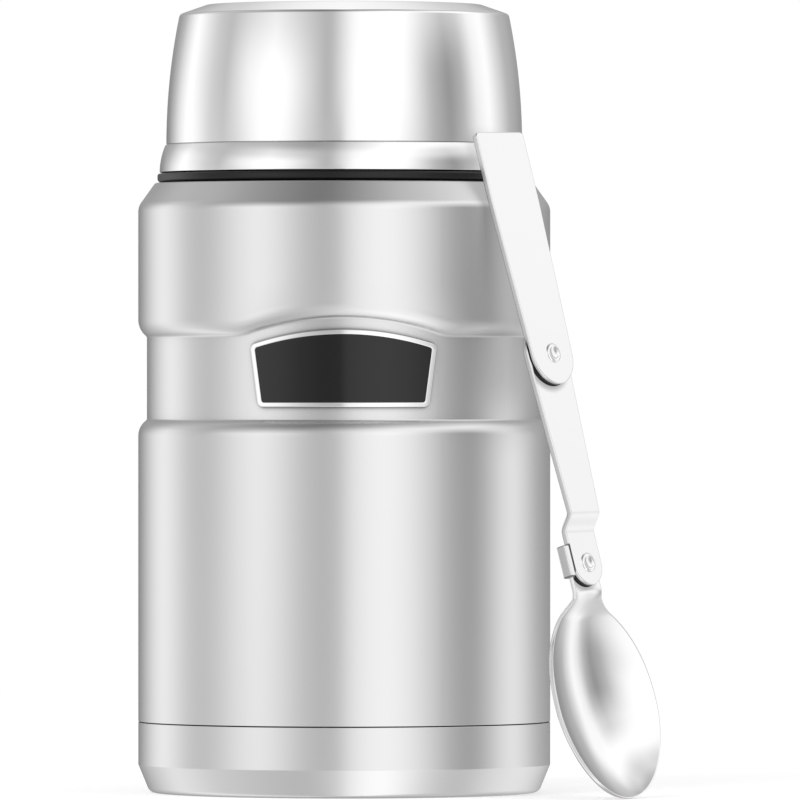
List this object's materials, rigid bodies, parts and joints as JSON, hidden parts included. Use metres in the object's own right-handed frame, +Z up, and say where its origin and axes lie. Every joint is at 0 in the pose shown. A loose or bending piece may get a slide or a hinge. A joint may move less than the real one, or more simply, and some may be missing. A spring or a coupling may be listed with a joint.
{
  "type": "insulated food jar",
  "caption": "Vacuum-insulated steel food jar with a waisted body, screw stopper, serving-bowl lid and a folding spoon leaning on its shoulder.",
  "frame": {"origin": "centre of the flat standing face, on the jar's axis", "axes": "+Z up along the jar's axis; -Y towards the badge; +X to the right seen from the front"},
  "size_m": [0.1288, 0.1143, 0.1948],
  "materials": {
    "brushed_steel": "satin",
    "inner_steel": "satin",
    "bright_steel": "polished",
    "spoon_steel": "polished",
    "black_enamel": "gloss",
    "black_plastic": "satin",
    "deck_plastic": "matte",
    "foam": "matte",
    "silicone": "matte",
    "copper_foil": "satin",
    "solder": "matte",
    "getter_alloy": "matte"
  },
  "bodies": {
    "jar": {"outer_shell": "brushed_steel", "inner_vessel": "inner_steel", "end_plate": "inner_steel", "vacuum_seal": "solder", "getter": "getter_alloy", "getter_strap": "inner_steel", "radiation_foil": "copper_foil", "base_cup": "brushed_steel", "badge_frame": "bright_steel", "badge_panel": "black_enamel"},
    "stopper": {"stopper_body": "black_plastic", "stopper_deck": "deck_plastic", "stopper_foam": "foam", "stopper_gasket": "silicone"},
    "lid": {"lid_shell": "bright_steel", "serving_bowl": "inner_steel", "lid_ring": "black_plastic"},
    "spoon": {"spoon_bowl": "spoon_steel", "lower_rivet": "spoon_steel"},
    "link": {"spoon_link": "spoon_steel", "upper_rivet": "spoon_steel"},
    "handle": {"spoon_handle": "spoon_steel"}
  },
  "joints": [
    {"name": "stopper_lift", "type": "slide", "parent": "jar", "child": "stopper", "axis": [0, 0, 1], "range_m": [0, 0.1]},
    {"name": "lid_lift", "type": "slide", "parent": "stopper", "child": "lid", "axis": [0, 0, 1], "range_m": [0, 0.1]},
    {"name": "spoon_lift", "type": "slide", "parent": "jar", "child": "spoon", "axis": [0, 0, 1], "range_m": [0, 0.2]},
    {"name": "link_fold", "type": "hinge", "parent": "spoon", "child": "link", "pos_m": [0.05952, -0.04472, 0.05746], "axis": [-0.7345, 0.6163, -0.284], "range_deg": [0, 180]},
    {"name": "handle_fold", "type": "hinge", "parent": "link", "child": "handle", "pos_m": [0.0511, -0.03884, 0.10855], "axis": [-0.7345, 0.6163, -0.284], "range_deg": [0, 180]}
  ]
}
